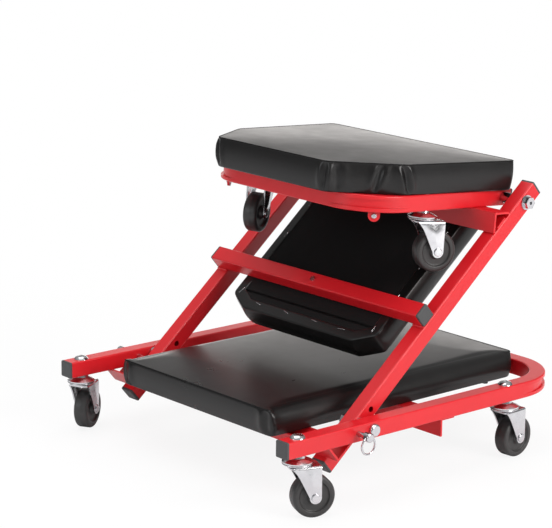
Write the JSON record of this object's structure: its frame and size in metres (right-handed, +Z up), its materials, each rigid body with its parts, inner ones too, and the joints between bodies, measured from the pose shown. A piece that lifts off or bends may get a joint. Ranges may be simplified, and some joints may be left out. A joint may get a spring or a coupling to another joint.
{
  "type": "folding creeper seat",
  "caption": "Mechanic's creeper on swivel casters that folds from a low rolling seat into a flat padded lie-down board.",
  "frame": {"origin": "centre of the bounding box's bottom face, on the floor under the wheels, in the seat pose", "axes": "+X from the open rail ends to the rear bend, +Y to the left side, +Z up"},
  "size_m": [0.465, 0.4726, 0.3753],
  "materials": {
    "red_paint": "bright red gloss powder coat on steel tube",
    "black_vinyl": "smooth black vinyl over foam",
    "board_black": "plywood board under black dust cloth",
    "zinc_steel": "bright zinc plated steel",
    "plug_plastic": "dark grey moulded plug",
    "foot_plastic": "black plastic foot",
    "wheel_black": "black moulded caster wheel"
  },
  "bodies": {
    "caster_front_left_swivel": {"caster_axle_front_left": "zinc_steel", "caster_fork_front_left": "zinc_steel"},
    "caster_front_right_swivel": {"caster_axle_front_right": "zinc_steel", "caster_fork_front_right": "zinc_steel"},
    "caster_head_left_swivel": {"caster_axle_head_left": "zinc_steel", "caster_fork_head_left": "zinc_steel"},
    "caster_head_right_swivel": {"caster_axle_head_right": "zinc_steel", "caster_fork_head_right": "zinc_steel"},
    "caster_rear_left_swivel": {"caster_axle_rear_left": "zinc_steel", "caster_fork_rear_left": "zinc_steel"},
    "caster_rear_right_swivel": {"caster_axle_rear_right": "zinc_steel", "caster_fork_rear_right": "zinc_steel"},
    "lower_frame": {"caster_mount_front_left": "zinc_steel", "caster_mount_front_right": "zinc_steel", "caster_mount_rear_left": "zinc_steel", "caster_mount_rear_right": "zinc_steel", "lower_cushion": "black_vinyl", "lower_hinge_bolts": "zinc_steel", "lower_pad_angle": "red_paint", "lower_pad_board": "board_black", "lower_pad_feet": "foot_plastic", "lower_rail_frame": "red_paint", "lower_rail_plugs": "plug_plastic", "lower_rear_tabs": "red_paint", "lower_stop_angle": "red_paint"},
    "head_frame": {"caster_mount_head_left": "zinc_steel", "caster_mount_head_right": "zinc_steel", "head_bend_tabs": "red_paint", "head_cushion": "black_vinyl", "head_pad_board": "board_black", "head_rail_frame": "red_paint", "head_rail_plugs": "plug_plastic", "head_stop_angle": "red_paint", "head_tab_screws": "zinc_steel"},
    "caster_front_left_wheel": {"caster_wheel_front_left": "wheel_black"},
    "caster_front_right_wheel": {"caster_wheel_front_right": "wheel_black"},
    "caster_head_left_wheel": {"caster_wheel_head_left": "wheel_black"},
    "caster_head_right_wheel": {"caster_wheel_head_right": "wheel_black"},
    "caster_rear_left_wheel": {"caster_wheel_rear_left": "wheel_black"},
    "caster_rear_right_wheel": {"caster_wheel_rear_right": "wheel_black"},
    "middle_frame": {"head_hinge_bolts": "zinc_steel", "middle_cross_plugs": "plug_plastic", "middle_cross_tube": "red_paint", "middle_cushion": "black_vinyl", "middle_pad_board": "board_black", "middle_pad_screws": "zinc_steel", "middle_pad_strap": "red_paint", "middle_side_tubes": "red_paint", "middle_tube_plugs": "plug_plastic"},
    "lock_pin_left": {"lock_pin_left": "zinc_steel"},
    "lock_pin_right": {"lock_pin_right": "zinc_steel"},
    "lock_ring_left": {"lock_ring_left": "zinc_steel"},
    "lock_ring_right": {"lock_ring_right": "zinc_steel"}
  },
  "joints": [
    {"name": "middle_fold", "type": "hinge", "parent": "lower_frame", "child": "middle_frame", "pos_m": [-0.102, 0, 0.0835], "axis": [0, -1, 0], "range_deg": [0, 139.7]},
    {"name": "head_fold", "type": "hinge", "parent": "middle_frame", "child": "head_frame", "pos_m": [0.16493, 0, 0.30988], "axis": [0, 1, 0], "range_deg": [0, 135.4]},
    {"name": "caster_front_right_swivel", "type": "hinge", "parent": "lower_frame", "child": "caster_front_right_swivel", "pos_m": [-0.2085, -0.204, 0.0735], "axis": [0, 0, 1], "continuous": true},
    {"name": "caster_front_right_wheel", "type": "hinge", "parent": "caster_front_right_swivel", "child": "caster_front_right_wheel", "pos_m": [-0.19181, -0.21074, 0.025], "axis": [0.3746, 0.9272, 0], "continuous": true},
    {"name": "caster_front_left_swivel", "type": "hinge", "parent": "lower_frame", "child": "caster_front_left_swivel", "pos_m": [-0.2085, 0.204, 0.0735], "axis": [0, 0, 1], "continuous": true},
    {"name": "caster_front_left_wheel", "type": "hinge", "parent": "caster_front_left_swivel", "child": "caster_front_left_wheel", "pos_m": [-0.19307, 0.21327, 0.025], "axis": [-0.515, 0.8572, 0], "continuous": true},
    {"name": "caster_rear_right_swivel", "type": "hinge", "parent": "lower_frame", "child": "caster_rear_right_swivel", "pos_m": [0.1245, -0.204, 0.0735], "axis": [0, 0, 1], "continuous": true},
    {"name": "caster_rear_right_wheel", "type": "hinge", "parent": "caster_rear_right_swivel", "child": "caster_rear_right_wheel", "pos_m": [0.14247, -0.20306, 0.025], "axis": [-0.0523, 0.9986, 0], "continuous": true},
    {"name": "caster_rear_left_swivel", "type": "hinge", "parent": "lower_frame", "child": "caster_rear_left_swivel", "pos_m": [0.1245, 0.204, 0.0735], "axis": [0, 0, 1], "continuous": true},
    {"name": "caster_rear_left_wheel", "type": "hinge", "parent": "caster_rear_left_swivel", "child": "caster_rear_left_wheel", "pos_m": [0.13829, 0.21557, 0.025], "axis": [-0.6428, 0.766, 0], "continuous": true},
    {"name": "caster_head_right_swivel", "type": "hinge", "parent": "head_frame", "child": "caster_head_right_swivel", "pos_m": [0.03754, -0.143, 0.30943], "axis": [0.075, 0, 0.9972], "continuous": true},
    {"name": "caster_head_right_wheel", "type": "hinge", "parent": "caster_head_right_swivel", "child": "caster_head_right_wheel", "pos_m": [0.05077, -0.14916, 0.25979], "axis": [0.3411, 0.9397, -0.0256], "continuous": true},
    {"name": "caster_head_left_swivel", "type": "hinge", "parent": "head_frame", "child": "caster_head_left_swivel", "pos_m": [0.03754, 0.143, 0.30943], "axis": [0.075, 0, 0.9972], "continuous": true},
    {"name": "caster_head_left_wheel", "type": "hinge", "parent": "caster_head_left_swivel", "child": "caster_head_left_wheel", "pos_m": [0.01764, 0.13539, 0.26229], "axis": [0.4214, -0.9063, -0.0317], "continuous": true},
    {"name": "lock_right", "type": "slide", "parent": "lower_frame", "child": "lock_pin_right", "axis": [0, 1, 0], "range_m": [0, 0.012]},
    {"name": "ring_right", "type": "hinge", "parent": "lock_pin_right", "child": "lock_ring_right", "pos_m": [-0.1255, -0.2308, 0.0835], "axis": [-1, 0, 0], "range_deg": [-5, 85]},
    {"name": "lock_left", "type": "slide", "parent": "lower_frame", "child": "lock_pin_left", "axis": [0, -1, 0], "range_m": [0, 0.012]},
    {"name": "ring_left", "type": "hinge", "parent": "lock_pin_left", "child": "lock_ring_left", "pos_m": [-0.1255, 0.2308, 0.0835], "axis": [1, 0, 0], "range_deg": [-5, 85]}
  ]
}
